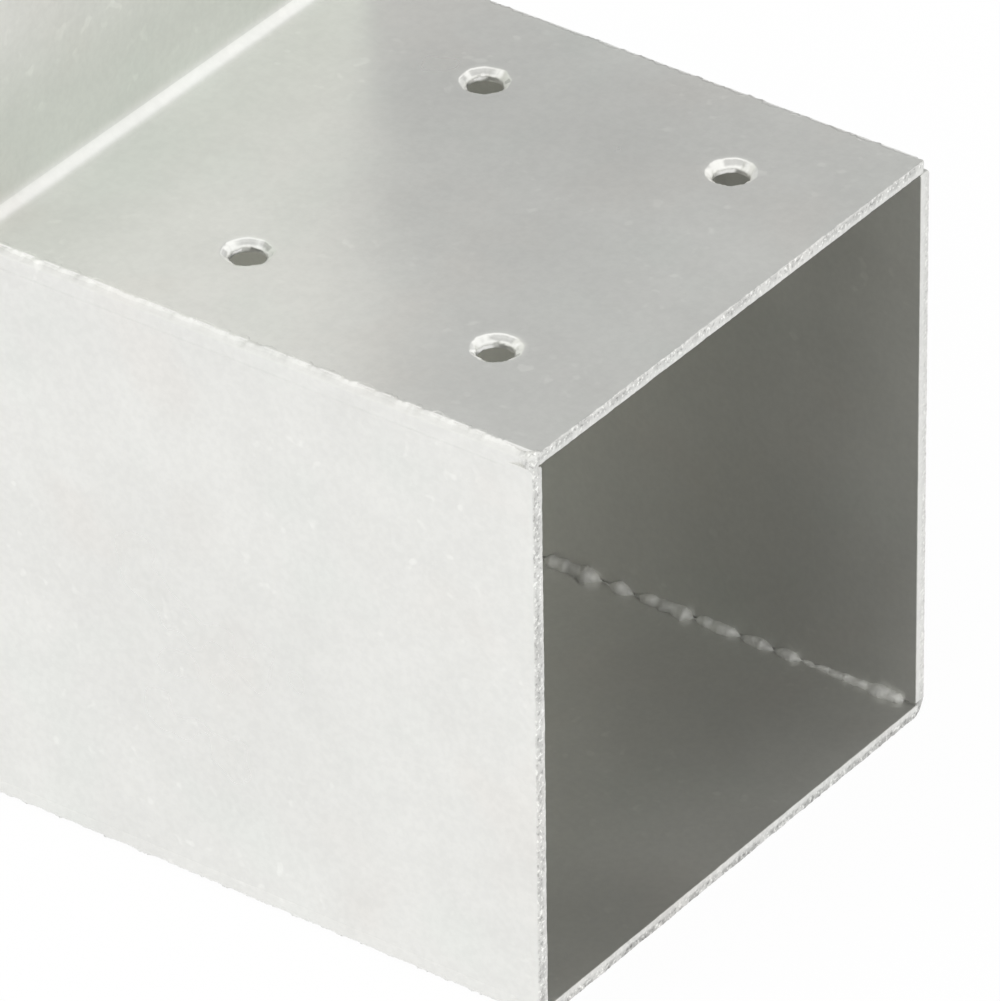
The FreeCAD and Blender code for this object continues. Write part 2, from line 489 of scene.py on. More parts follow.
def outline(corners, settings):
    """Points along a closed outline of straight runs whose corners have a radius each."""
    points = []
    count = len(corners)
    for index in range(count):
        before = Vector(corners[index - 1][0])
        corner = Vector(corners[index][0])
        after = Vector(corners[(index + 1) % count][0])
        radius = corners[index][1]
        back = (before - corner).normalized()
        forth = (after - corner).normalized()
        half = back.angle(forth) / 2
        tangent = radius / math.tan(half)
        centre = corner + (back + forth).normalized() * (radius / math.sin(half))
        start = corner + back * tangent - centre
        turn = start.angle_signed(corner + forth * tangent - centre)
        parts = max(6, round(abs(turn) * radius / settings.side_step))
        for part in range(parts + 1):
            points.append(centre + Matrix.Rotation(-turn * part / parts, 2) @ start)
    return fill_runs(points, settings)


def fill_runs(points, settings):
    """The same closed outline with more points wherever two neighbours are far apart."""
    filled = []
    for index, point in enumerate(points):
        following = points[(index + 1) % len(points)]
        run = (following - point).length
        step = settings.mouth_step if run < OUTER_WIDTH else settings.side_step
        parts = max(1, round(run / step))
        for part in range(parts):
            filled.append(point.lerp(following, part / parts))
    return filled


def inset_loop(loop, distance):
    """A closed loop of points moved inward, for a loop that runs counterclockwise."""
    moved = []
    for index, point in enumerate(loop):
        run = loop[(index + 1) % len(loop)] - loop[index - 1]
        inward = Vector((-run.y, run.x)).normalized()
        moved.append(point + inward * distance)
    return moved


def inside_loop(point, loop):
    """Whether a point lies inside a closed loop."""
    crossings = False
    last = loop[-1]
    for current in loop:
        if (current.y > point.y) != (last.y > point.y):
            share = (point.y - current.y) / (last.y - current.y)
            if point.x < current.x + share * (last.x - current.x):
                crossings = not crossings
        last = current
    return crossings


def rim_profile(edge_round):
    """The rings of a cut edge from front face to back face: inset, depth, unevenness and wear, which also
    carries the edges' painted glints.
    """
    support = 0.2 * MM
    back_uneven = 0.35
    back_wear = 0.25
    quarter = []
    turns = ((0, 0.3, 0.3), (22.5, 0.6, 0.5), (45, 0.9, 0.6), (67.5, 1.0, 0.8), (90, 1.0, 1.0))
    for degrees, uneven, wear in turns:
        angle = math.radians(degrees)
        inset = edge_round * (1 - math.sin(angle))
        quarter.append((inset, edge_round * (1 - math.cos(angle)), uneven, wear))
    front = [(edge_round + support, 0.0, 0.0, 0.0)] + quarter
    across = ((0.25, 1.0, 1.0), (0.4, 1.0, 1.0), (0.55, 0.8, 0.75), (0.7, 0.45, 0.3))
    middle = [(0.0, SHEET * share, uneven, wear) for share, uneven, wear in across]
    back = []
    for inset, depth, uneven, wear in reversed(front):
        back.append((inset, SHEET - depth, uneven * back_uneven, wear * back_wear))
    return front + middle + back


def hole_profile(hole_radius, sink_radius):
    """Radius, depth, unevenness and painted sheen of each ring of a countersunk hole, from front to back:
    the sheen is a painted highlight on the cone.
    """
    lip = 0.25 * MM
    support = 0.8 * MM
    sink_depth = sink_radius - hole_radius
    return [
        (sink_radius + lip + support, 0.0, 0.0, 0.0),
        (sink_radius + lip, 0.0, 0.3, 0.2),
        (sink_radius + lip * 0.3, lip * 0.3, 0.5, 1.0),
        (sink_radius - lip * 0.5, lip * 0.9, 0.9, 1.0),
        (hole_radius + sink_depth * 0.62, sink_depth * 0.38, 1.0, 1.0),
        (hole_radius + sink_depth * 0.35, sink_depth * 0.65, 1.0, 1.0),
        (hole_radius + lip * 0.5, sink_depth - lip * 0.3, 0.6, 1.0),
        (hole_radius, sink_depth + lip * 0.6, 0.4, 0.2),
        (hole_radius, SHEET - lip, 0.3, 0.0),
        (hole_radius + lip, SHEET, 0.2, 0.0),
        (hole_radius + lip + support, SHEET, 0.0, 0.0),
    ]


def at_mouth(place):
    """How much a point belongs to a sheared mouth edge, from 0 to 1."""
    reach = 1.2 * MM
    near_lying = 1 - (MOUTH - place.x) / reach
    near_standing = 1 - (OVERALL - place.z) / reach
    return min(1.0, max(0.0, near_lying, near_standing))


def uneven_step(place, amount):
    """A small displacement of a sheared edge, in three sizes of unevenness."""
    broad = noise.noise_vector(place * (0.32 / MM))
    fine = noise.noise_vector(place * (0.95 / MM) + Vector((3, 5, 7)))
    finest = noise.noise_vector(place * (2.1 / MM) + Vector((8, 2, 4)))
    return (broad * 0.45 + fine * 0.40 + finest * 0.35) * amount


def in_box(place):
    """The nearest place inside the box of the solids."""
    return Vector([min(max(level, low), high) for level, low, high in zip(place, *CAD_BOX)])


def ground_off(place):
    """Round the lower far corner of the lying mouth, which is ground off there."""
    radius = 3.3 * MM
    reach = 9.0 * MM
    share = 1 - (MOUTH - place.x) / reach
    outward = place.y - (HALF_WIDTH - radius)
    downward = radius - place.z
    distance = math.hypot(outward, downward)
    if share <= 0 or outward <= 0 or downward <= 0 or distance <= radius:
        return place
    pull = share * (1 - radius / distance)
    return place - Vector((0.0, outward, -downward)) * pull


class SheetMesh:
    """Collects the rings and faces of one sheet, laid flat, and places them in space."""

    def __init__(self, place, wander, wear):
        self.mesh = bmesh.new()
        self.cut = self.mesh.verts.layers.float.new("cut")
        # The sheen layer holds a painted highlight, or a darker tone where it is below zero
        self.fresh = self.mesh.verts.layers.float.new("fresh")
        self.place = place
        self.wander = wander
        self.wear, self.fading = wear

    def ring(self, loop, depth, uneven=0.0, wear=0.0):
        """One ring of points, uneven where the sheet is sheared at a mouth."""
        made = []
        for point in loop:
            place = self.place(point.x, point.y, depth)
            share = at_mouth(place)
            if share * uneven > 0:
                place = in_box(place + uneven_step(place, self.wander * share * uneven))
            vertex = self.mesh.verts.new(ground_off(place))
            vertex[self.cut] = share * self.wear * wear ** self.fading
            made.append(vertex)
        return made

    def tint(self, ring, tones):
        """Give each point of a ring its painted sheen: a painted highlight, or a darker tone where it is
        below zero.
        """
        for vertex, tone in zip(ring, tones):
            vertex[self.fresh] = tone

    def band(self, first, second):
        """Faces between two rings."""
        count = len(first)
        for index in range(count):
            following = (index + 1) % count
            self.mesh.faces.new((first[index], first[following], second[following], second[index]))

    def face(self, loops, rings, extra_points, depth):
        """Fill one face of the sheet between its rim and its holes."""
        points = []
        verts = []
        edges = []
        for loop, ring in zip(loops, rings):
            start = len(points)
            points.extend(point / MM for point in loop)
            verts.extend(ring)
            count = len(loop)
            edges.extend((start + index, start + (index + 1) % count) for index in range(count))
        for point in extra_points:
            points.append(point / MM)
            verts.append(self.mesh.verts.new(ground_off(self.place(point.x, point.y, depth))))
        flat, _, triangles, sources, _, _ = delaunay_2d_cdt(points, edges, [], 0, 1e-6)
        for triangle in triangles:
            first, second, third = (flat[corner] for corner in triangle)
            if abs((second - first).cross(third - first)) < 1e-4:
                continue
            middle = (first + second + third) * (MM / 3)
            in_hole = any(inside_loop(middle, loop) for loop in loops[1:])
            if in_hole or not inside_loop(middle, loops[0]):
                continue
            self.mesh.faces.new([verts[sources[corner][0]] for corner in triangle])

    def to_mesh(self, name):
        """The finished sheet, closed and facing outwards."""
        bmesh.ops.remove_doubles(self.mesh, verts=self.mesh.verts, dist=1e-7)
        bmesh.ops.recalc_face_normals(self.mesh, faces=self.mesh.faces)
        mesh = bpy.data.meshes.new(name)
        self.mesh.to_mesh(mesh)
        self.mesh.free()
        mesh.shade_smooth()
        return mesh


def grid_points(loops, skip_from, skip_to):
    """Points spread over a face, clear of its rim, its holes and its fold."""
    spacing = 8.0 * MM
    margin = 3.0 * MM
    rim = kdtree.KDTree(sum(len(loop) for loop in loops))
    for index, point in enumerate(point for loop in loops for point in loop):
        rim.insert((point.x, point.y, 0.0), index)
    rim.balance()
    outer = loops[0]
    low = Vector((min(point.x for point in outer), min(point.y for point in outer)))
    high = Vector((max(point.x for point in outer), max(point.y for point in outer)))
    points = []
    for column in range(1, int((high.x - low.x) / spacing) + 1):
        for row in range(1, int((high.y - low.y) / spacing) + 1):
            point = low + Vector((column, row)) * spacing
            clear_of_fold = not skip_from - margin < point.x < skip_to + margin
            clear_of_rim = rim.find((point.x, point.y, 0.0))[2] > margin
            in_hole = any(inside_loop(point, loop) for loop in loops[1:])
            if clear_of_fold and clear_of_rim and not in_hole and inside_loop(point, outer):
                points.append(point)
    return points


def fold_points(leg, arc):
    """Rows of points that carry the curve of the fold across the strip."""
    rows = 12
    columns = 60
    margin = 1.2 * MM
    points = []
    for row in range(rows + 1):
        for column in range(columns + 1):
            across = (HALF_STRIP - margin) * (2 * column / columns - 1)
            points.append(Vector((leg + arc * row / rows, across)))
    return points


def build_sheet(name, corners, place, settings, holes=(), fold_run=None):
    """A sheet with rounded cut edges and countersunk holes, given flat and put in place."""
    noise.seed_set(settings.seed)
    sheet = SheetMesh(place, getattr(settings, name + "_wander"), CHEEK_WEAR.get(name, EVEN_WEAR))
    loop = outline(corners, settings)
    profile = rim_profile(settings.edge_round)
    loops = [inset_loop(loop, inset) for inset, _, _, _ in profile]
    rings = [sheet.ring(flat, *levels[1:]) for flat, levels in zip(loops, profile)]
    for first, second in zip(rings, rings[1:]):
        sheet.band(first, second)
    front = [(loops[0], rings[0])]
    back = [(loops[-1], rings[-1])]
    for number, (centre, radius) in enumerate(holes):
        hole_loops, hole_rings = hole_rim(sheet, centre, radius, settings, number)
        front.append((hole_loops[0], hole_rings[0]))
        back.append((hole_loops[-1], hole_rings[-1]))
    for faces, depth in ((front, 0.0), (back, SHEET)):
        face_loops = [flat for flat, _ in faces]
        if fold_run:
            leg, arc = fold_run
            extra = fold_points(leg, arc) + grid_points(face_loops, leg, leg + arc)
        else:
            extra = grid_points(face_loops, OVERALL, -OVERALL)
        sheet.face(face_loops, [ring for _, ring in faces], extra, depth)
    return sheet.to_mesh(name + "_sheet")


def dull_share(spoke, dull_side, number):
    """How far a countersink's painted highlight gives way to a darker tone in one direction: on one side
    and in patches.
    """
    patch = noise.noise(Vector((spoke.x * 1.8, spoke.y * 1.8, number * 5.0 + 0.3)))
    dull = max((spoke.dot(dull_side) - 0.80) / 0.15, (patch - 0.08) / 0.12)
    return min(1.0, max(0.0, dull))


def hole_rim(sheet, centre, radius, settings, number):
    """The rings of one countersunk hole, with uneven zinc on its cone and a painted highlight on the cone,
    darker on one side and in patches.
    """
    parts = 96
    dull_drop = 2.2
    cone_from = 0.9
    loops = []
    rings = []
    shift = noise.noise_vector(Vector((number * 3.7, 0.4, 1.9))).to_2d() * settings.bore_shift
    turn = noise.noise(Vector((number * 2.3, 1.7, 0.6))) * 0.5
    dull_side = Matrix.Rotation(turn, 2) @ Vector((0.5, 0.87))
    for size, depth, uneven, fresh in hole_profile(radius, settings.sink_diameter / 2):
        loop = []
        tones = []
        on_cone = uneven >= cone_from
        middle = Vector(centre) + shift * min(1.0, depth / (SHEET * 0.5)) * (uneven > 0)
        for part in range(parts):
            angle = -2 * math.pi * part / parts
            spoke = Vector((math.cos(angle), math.sin(angle)))
            spot = Vector((spoke.x * 2.2, spoke.y * 2.2, number * 9.0 + depth * 0.9 / MM))
            bumps = noise.noise(spot) + 0.6 * noise.noise(spot * 2.7)
            loop.append(middle + spoke * (size + settings.sink_wander * uneven * bumps))
            tones.append(fresh * (1.0 - dull_drop * dull_share(spoke, dull_side, number) * on_cone))
        loops.append(loop)
        rings.append(sheet.ring(loop, depth))
        sheet.tint(rings[-1], tones)
    for first, second in zip(rings, rings[1:]):
        sheet.band(first, second)
    return loops, rings


def cheek_corners(bend_radius, ease):
    """The L-shaped outline of a cheek in its own plane, with a radius at each corner."""
    low = CHEEK_INSET
    high = OUTER_WIDTH - CHEEK_INSET
    return [
        ((BACK + low, low), bend_radius + SHEET - CHEEK_INSET),
        ((MOUTH, low), ease),
        ((MOUTH, high), ease),
        ((BACK + high, high), bend_radius + CHEEK_INSET),
        ((BACK + high, OVERALL), ease),
        ((BACK + low, OVERALL), ease),
    ]


class Fold:
    """How a strip laid flat is folded: from the distance along it to its place in space."""

    def __init__(self, face, bend_middle, bend_radius, inward):
        self.face = face
        self.bend_middle = bend_middle
        self.bend_radius = bend_radius
        self.inward = inward
        self.leg = OVERALL - bend_middle
        self.arc = bend_radius * math.pi / 2
        self.length = 2 * self.leg + self.arc

    def place(self, along, across, depth):
        level = self.face + self.inward * depth
        if along <= self.leg:
            return Vector((MOUTH - along, across, level))
        if along >= self.leg + self.arc:
            return Vector((BACK + level, across, self.bend_middle + along - self.leg - self.arc))
        angle = (along - self.leg) / self.bend_radius
        reach = self.bend_radius - self.inward * depth
        return Vector((
            BACK + self.bend_middle - reach * math.sin(angle),
            across,
            self.bend_middle - reach * math.cos(angle)))


def strip_folds(settings):
    """The folds of the two strips."""
    hollow = settings.bend_radius
    full = hollow + SHEET
    return {
        "outer": Fold(0.0, full, full, 1),
        "inner": Fold(OUTER_WIDTH, OUTER_WIDTH + hollow, hollow, -1),
    }


def strip_corners(length, ease):
    """The outline of a strip laid flat, with a radius at each corner."""
    places = ((0.0, -HALF_STRIP), (length, -HALF_STRIP), (length, HALF_STRIP), (0.0, HALF_STRIP))
    return [(place, ease) for place in places]


def screw_holes(length):
    """Centres and radius of the screw holes on the inner strip laid flat, from the stated mounts."""
    holes = []
    dims = MOUNTS["lying_screws"]["dims"]
    centre = MOUTH - MOUNTS["lying_screws"]["pos_m"][0]
    radius = dims["hole_r_mm"] * MM
    for along in (-0.5, 0.5):
        for across in (-0.5, 0.5):
            from_mouth = centre + along * dims["spacing_x_mm"] * MM
            sideways = across * dims["spacing_y_mm"] * MM
            holes.append(((from_mouth, sideways), radius))
            holes.append(((length - from_mouth, sideways), radius))
    return holes


def add_piece(name, mesh, node, material):
    """Show a mesh in place of its solid."""
    piece = bpy.data.objects.new(name, mesh)
    bpy.context.scene.collection.objects.link(piece)
    mesh.materials.clear()
    mesh.materials.append(material)
    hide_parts(node)
    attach(piece, "root")
    return piece


class CONNECTOR_OT_cheeks(bpy.types.Operator):
    """Make the two flat L-shaped cheeks"""
    bl_idname = "connector.cheeks"
    bl_label = "Cheeks"

    def execute(self, context):
        settings = context.scene.connector_sheet
        for side, name in ((-1, "near_cheek"), (1, "far_cheek")):
            def place(along, up, depth, side=side):
                return Vector((along, side * (HALF_WIDTH - max(depth, CHEEK_SINK)), up))

            corners = cheek_corners(settings.bend_radius, settings.corner_ease)
            mesh = build_sheet(name, corners, place, settings)
            add_piece(name + "_sheet", mesh, name, sheet_material())
        return {"FINISHED"}


class CONNECTOR_OT_strips(bpy.types.Operator):
    """Make the two folded strips, with the screw holes in the inner one"""
    bl_idname = "connector.strips"
    bl_label = "Folded strips"

    def execute(self, context):
        settings = context.scene.connector_sheet
        for kind, fold in strip_folds(settings).items():
            name = kind + "_strip"
            holes = screw_holes(fold.length) if kind == "inner" else ()
            corners = strip_corners(fold.length, settings.corner_ease)
            mesh = build_sheet(name, corners, fold.place, settings, holes, (fold.leg, fold.arc))
            add_piece(name + "_sheet", mesh, name, sheet_material())
        return {"FINISHED"}


BEAD_SIZES = (
    "End Length", "End Grain", "Wear Length", "End Wear", "Lump Length", "Swell", "Grain", "Seed",
    "Dull", "Bright")

# The toe's wandering in three sizes: factor of its seed, scale along the bead, and reach
TOE_WAVES = ((3.0, 1.6, 0.35), (5.0, 4.5, 0.18), (9.0, 11.0, 0.14))


def bead_tree():
    """Geometry Nodes that sweep a section along a path, swell it into lumps and let its toe wander."""
    tree = bpy.data.node_groups.new("weld_bead", "GeometryNodeTree")
    tree.interface.new_socket("Path", in_out="INPUT", socket_type="NodeSocketGeometry")
    tree.interface.new_socket("Section", in_out="INPUT", socket_type="NodeSocketObject")
    for name in BEAD_SIZES:
        tree.interface.new_socket(name, in_out="INPUT", socket_type="NodeSocketFloat")
    tree.interface.new_socket("Drift", in_out="INPUT", socket_type="NodeSocketVector")
    tree.interface.new_socket("Material", in_out="INPUT", socket_type="NodeSocketMaterial")
    tree.interface.new_socket("Bead", in_out="OUTPUT", socket_type="NodeSocketGeometry")
    graph = Graph(tree)
    names = [item.name for item in tree.interface.items_tree if item.in_out == "INPUT"]
    given = dict(zip(names, graph.outputs("NodeGroupInput", names)))

    def wave(run, seed, scale):
        settings = {"noise_dimensions": "1D"}
        return graph.node("ShaderNodeTexNoise", settings, {"W": run + seed, "Scale": scale})

    def stored(geometry, name, value):
        settings = {"data_type": "FLOAT", "domain": "POINT"}
        levels = {"Geometry": geometry, "Name": name, "Value": value}
        return graph.node("GeometryNodeStoreNamedAttribute", settings, levels)

    run = graph.node("GeometryNodeSplineParameter", output="Length")
    whole = graph.node("GeometryNodeSplineLength", output="Length")
    to_end = (run.at_most(whole - run) / given["End Length"]).at_most(1.0).at_least(0.35)
    rounded = (to_end * (2.0 - to_end)) ** 0.5
    swelling = wave(run / given["Lump Length"], given["Seed"], 1.3)
    lump = graph.node("GeometryNodeInputRadius")
    profile = graph.node("GeometryNodeObjectInfo", None, {"Object": given["Section"]}, output="Geometry")
    swept = graph.node("GeometryNodeCurveToMesh", None, {
        "Curve": given["Path"], "Profile Curve": profile, "Fill Caps": True,
        "Scale": lump * rounded * (1.0 + swelling * given["Swell"])})

    place = graph.node("GeometryNodeInputPosition")
    facing = graph.node("GeometryNodeInputNormal")
    along, across, up = graph.outputs("ShaderNodeSeparateXYZ", ("X", "Y", "Z"), {"Vector": place})

    def near_mouth(start, end):
        return graph.steps(along, MOUTH - start, MOUTH - end).at_least(
            graph.steps(up, OVERALL - start, OVERALL - end))

    speck = graph.noise(place, 1.0 / (1.1 * MM), detail=2.0, seed=given["Seed"]) - 0.5
    height = speck * 2.0 * (given["Grain"] + near_mouth(4.0 * MM, 0.0) * given["End Grain"])
    onward = (up - along) / given["Lump Length"]
    sideways = 0.0
    for factor, scale, reach in TOE_WAVES:
        swing = wave(onward, given["Seed"] * factor, scale)
        sideways = sideways + graph.steps(swing, 0.3, 0.7, -reach, reach)
    at_toe = graph.steps(abs(across), HALF_WIDTH - 0.2 * MM, HALF_STRIP)
    moved = graph.vector_maths("ADD", place, graph.scaled(facing, height))
    moved = graph.vector_maths("ADD", moved, graph.scaled(given["Drift"], sideways * at_toe))
    kept = graph.vector_maths("MINIMUM", moved, CAD_BOX[1])
    kept = graph.vector_maths("MAXIMUM", kept, CAD_BOX[0])
    grained = graph.node("GeometryNodeSetPosition", None, {"Geometry": swept, "Position": kept})
    # Worn zinc at the bead's ends; on the inner near bead it also darkens the dent behind the end as
    # painted shade
    worn = near_mouth(given["Wear Length"], 0.2 * MM) * given["End Wear"]
    marked = stored(grained, "cut", worn)
    # Painted sheen along the toe: painted highlights in blotches, with darker breaks between them
    blotches = graph.noise(place, 1.0 / (4.0 * MM), detail=3.0, rough=0.6, seed=given["Seed"] * 7.0)
    tones = graph.steps(blotches, 0.36, 0.56, given["Dull"], given["Bright"])
    toned = stored(marked, "fresh", tones * at_toe)
    smooth = graph.node("GeometryNodeSetShadeSmooth", None, {"Geometry": toned})
    real = graph.node("GeometryNodeRealizeInstances", None, {"Geometry": smooth})
    done = graph.node("GeometryNodeSetMaterial", None, {"Geometry": real, "Material": given["Material"]})
    graph.node("NodeGroupOutput", None, {"Bead": done})
    return tree


def curve_object(name, points, closed, sizes=None):
    """A curve of straight runs through points, which may have a size each."""
    data = bpy.data.curves.new(name, "CURVE")
    data.dimensions = "3D"
    spline = data.splines.new("POLY")
    spline.points.add(len(points) - 1)
    for target, point in zip(spline.points, points):
        target.co = (point[0], point[1], point[2], 1.0)
    for target, size in zip(spline.points, sizes or ()):
        target.radius = size
    spline.use_cyclic_u = closed
    made = bpy.data.objects.new(name, data)
    bpy.context.scene.collection.objects.link(made)
    return made


def crown_section(toe, slope, rounding):
    """The bead's outside in its corner, as insets from the cheek's and the strip's outer faces: a slope
    from its toe on the strip, a rounded turn, and a flat side that lies on the cheek."""
    tuck = 0.4 * MM
    toe_inset = LEDGE + toe
    corner = toe_inset * math.tan(slope)
    turn = math.pi / 2 - slope
    centre = (rounding, corner + rounding * math.tan(turn / 2))
    side_end = max(centre[1], CHEEK_INSET + tuck) + tuck
    soft = 0.3 * MM
    parts = 14
    section = [(tuck, side_end + tuck), (tuck * 0.1, side_end), (0.0, side_end - tuck)]
    for part in range(parts + 1):
        angle = turn * part / parts
        section.append((centre[0] - rounding * math.cos(angle), centre[1] - rounding * math.sin(angle)))
    section += [
        (toe_inset - soft, soft * math.tan(slope)), (toe_inset, -0.01 * MM), (toe_inset + tuck, 0.12 * MM),
        (toe_inset + tuck, SHEET * 0.5), (SHEET * 0.9, SHEET * 0.9)]
    return section


def root_section(size):
    """The bead's root in the inner corner: a round lump of the stated half width."""
    centre = SHEET + 0.15 * size
    parts = 14
    section = []
    for part in range(parts):
        angle = 2 * math.pi * part / parts
        section.append((centre + size * math.cos(angle), centre + size * math.sin(angle)))
    return section


def root_lumps(shown, length, root_end, seed):
    """The lumps of a root: the ones that show, then random ones to the other mouth."""
    chance = random.Random(seed)
    lumps = [(start * MM, end * MM, size, narrowing) for start, end, size, narrowing in shown]
    start = lumps[-1][1] if lumps else root_end
    while start < length - root_end:
        end = min(length - root_end, start + chance.uniform(3.0, 11.0) * MM)
        lumps.append((start, end, chance.uniform(0.6, 1.0), chance.uniform(0.0, 0.35)))
        start = end + chance.uniform(0.1, 1.4) * MM
    return lumps


def lump_size(lumps, stop):
    """The size of a root at one stop: uneven lumps with round ends, larger towards the first mouth."""
    thin = 0.10
    sizes = [thin]
    for start, end, size, narrowing in lumps:
        if start <= stop <= end:
            round_end = min(2.4 * MM, (end - start) / 2)
            share = (stop - start) / (end - start)
            to_end = min(1.0, (stop - start) / round_end, (end - stop) / round_end)
            uneven = 1 + 0.22 * noise.noise(Vector((stop * 0.7 / MM, start / MM, 0.5)))
            sizes.append(size * uneven * (1 - narrowing * share) * (to_end * (2 - to_end)) ** 0.6)
    return max(sizes)


def dented(depth, length, stop):
    """The size of a bead at one stop, with a dent of the stated depth close behind each end."""
    from_mouth = 2.8 * MM
    half_length = 1.3 * MM
    distance = (min(stop, length - stop) - from_mouth) / half_length
    return 1 - depth * math.exp(-distance ** 2)


def corner_drop():
    """A drop of zinc at the lying mouth, where the near bead of the inner corner ends."""
    half_size = Vector((0.70, 0.80, 1.30)) * MM
    centre = Vector((MOUTH, -HALF_WIDTH, OUTER_WIDTH)) + Vector((-0.72, 0.85, -1.40)) * MM
    drop = bmesh.new()
    bmesh.ops.create_icosphere(drop, subdivisions=4, radius=1.0)
    for vertex in drop.verts:
        uneven = 1 + 0.2 * noise.noise(vertex.co * 1.6)
        vertex.co = in_box(centre + half_size * vertex.co * uneven)
    mesh = bpy.data.meshes.new("corner_drop")
    drop.to_mesh(mesh)
    drop.free()
    return mesh


def bead_stops(length, setback, step):
    """Distances along a strip at which a bead has a ring."""
    parts = round((length - 2 * setback) / step)
    middle = [setback + (length - 2 * setback) * part / parts for part in range(1, parts)]
    starts = [setback, setback + step * 0.2, setback + step * 0.5]
    return starts + middle + [length - start for start in reversed(starts)]


def bead_mesh(tree, name, path, sizes, section, values):
    """One bead as a plain mesh, swept by the tree."""
    path_object = curve_object(name + "_path", path, False, sizes)
    section_object = curve_object(name + "_section", section, True)
    modifier = path_object.modifiers.new("weld_bead", "NODES")
    modifier.node_group = tree
    values = dict(values, Section=section_object, Material=weld_material())
    for item in tree.interface.items_tree:
        if item.in_out == "INPUT" and item.name in values:
            modifier[item.identifier] = values[item.name]
    depsgraph = bpy.context.evaluated_depsgraph_get()
    mesh = bpy.data.meshes.new_from_object(path_object.evaluated_get(depsgraph))
    for done in (path_object, section_object):
        data = done.data
        bpy.data.objects.remove(done)
        bpy.data.curves.remove(data)
    return mesh


def joined(name, meshes):
    """Several closed meshes as one, facing outwards."""
    union = bmesh.new()
    for mesh in meshes:
        union.from_mesh(mesh)
    for vertex in union.verts:
        vertex.co = ground_off(vertex.co)
    bmesh.ops.remove_doubles(union, verts=union.verts, dist=1e-7)
    bmesh.ops.recalc_face_normals(union, faces=union.faces)
    result = bpy.data.meshes.new(name)
    union.to_mesh(result)
    union.free()
    result.shade_smooth()
    for mesh in meshes:
        bpy.data.meshes.remove(mesh)
    return result


def crown_part(settings, fold, side, number):
    """The outside of a bead: its depth in the corner, section, stops, sizes and inputs of the tree."""
    depth = SHEET * 0.8
    stops = bead_stops(fold.length, settings.ends[number], settings.step)
    sizes = [dented(settings.end_dent[number], fold.length, stop) for stop in stops]
    values = {
        "End Length": settings.end_round[number],
        "End Grain": settings.end_grain[number],
        "End Wear": settings.wear,
        "Swell": settings.swell,
        "Grain": settings.grain,
        "Drift": (0.0, -side * settings.drift, 0.0),
        "Dull": settings.dull[number],
        "Bright": settings.bright[number],
    }
    section = crown_section(settings.toe, settings.slope, settings.rounding[number])
    return depth, section, stops, sizes, values


def root_part(settings, fold, side, lumps):
    """The root of a bead inside the sleeve, given in the same way."""
    finer = 0.7
    stops = bead_stops(fold.length, settings.root_end, settings.step * finer)
    sizes = [lump_size(lumps, stop) for stop in stops]
    values = {
        "End Length": settings.root_round,
        "End Grain": 0.0,
        "End Wear": 0.0,
        "Swell": settings.root_swell,
        "Grain": settings.root_grain,
        "Drift": (0.0, -side * settings.root_drift, 0.0),
        "Dull": settings.root_dull,
        "Bright": settings.root_bright,
    }
    return SHEET, root_section(settings.root_size), stops, sizes, values


class CONNECTOR_OT_welds(bpy.types.Operator):
    """Make the four weld beads, with their roots inside the sleeves"""
    bl_idname = "connector.welds"
    bl_label = "Weld beads"

    def execute(self, context):
        settings = context.scene.connector_weld
        folds = strip_folds(context.scene.connector_sheet)
        tree = bead_tree()
        for number, (name, (side, kind)) in enumerate(WELDS.items()):
            fold = folds[kind]
            seed = settings.seed + 10 * number
            shared = {
                "Lump Length": settings.lump_length,
                "Wear Length": settings.end_wear_and_shade[number],
                "Seed": float(seed),
            }
            shown = SHOWN_LUMPS if name == "outer_far_weld" else ()
            lumps = root_lumps(shown, fold.length, settings.root_end, seed)
            parts = (crown_part(settings, fold, side, number), root_part(settings, fold, side, lumps))
            meshes = []
            for inset, section, stops, sizes, values in parts:
                turned = []
                for cheek, strip in section:
                    turned.append((-side * (cheek - inset), -fold.inward * (strip - inset), 0.0))
                path = [fold.place(stop, side * (HALF_WIDTH - inset), inset) for stop in stops]
                meshes.append(bead_mesh(tree, name, path, sizes, turned, dict(shared, **values)))
            if name == "inner_near_weld":
                meshes.append(corner_drop())
            mesh = joined(name + "_bead", meshes)
            add_piece(name + "_bead", mesh, name, weld_material())
        return {"FINISHED"}


class CONNECTOR_OT_stage(bpy.types.Operator):
    """Set the floor, the lamps, the world and the camera"""
    bl_idname = "connector.stage"
    bl_label = "Stage"

    def execute(self, context):
        make_floor()
        make_world()
        make_lamp()
        make_camera()
        context.scene.view_settings.view_transform = "Standard"
        return {"FINISHED"}


def make_floor():
    """A pale floor that looks white to the camera and to reflections, and keeps a soft shadow."""
    size = 6.0
    mesh = bpy.data.meshes.new("studio_floor")
    corners = [(-size, -size, 0), (size, -size, 0), (size, size, 0), (-size, size, 0)]
    mesh.from_pydata(corners, [], [(0, 1, 2, 3)])
    floor = bpy.data.objects.new("studio_floor", mesh)
    bpy.context.scene.collection.objects.link(floor)
    material = bpy.data.materials.new("white_floor")
    material.use_nodes = True
    graph = Graph(material.node_tree)
    seen, mirrored, through = graph.outputs(
        "ShaderNodeLightPath", ("Is Camera Ray", "Is Glossy Ray", "Is Transmission Ray"))
    share = seen.at_least(mirrored).at_least(through) * 0.96
    paint = graph.node("ShaderNodeBsdfDiffuse", None, {"Color": (0.92, 0.92, 0.92, 1.0)})
    white = graph.node("ShaderNodeEmission", None, {"Color": (1.0, 1.0, 1.0, 1.0), "Strength": 1.0})
    mixed = graph.node("ShaderNodeMixShader", None, {0: share, 1: paint, 2: white})
    graph.node("ShaderNodeOutputMaterial", None, {"Surface": mixed})
    mesh.materials.append(material)


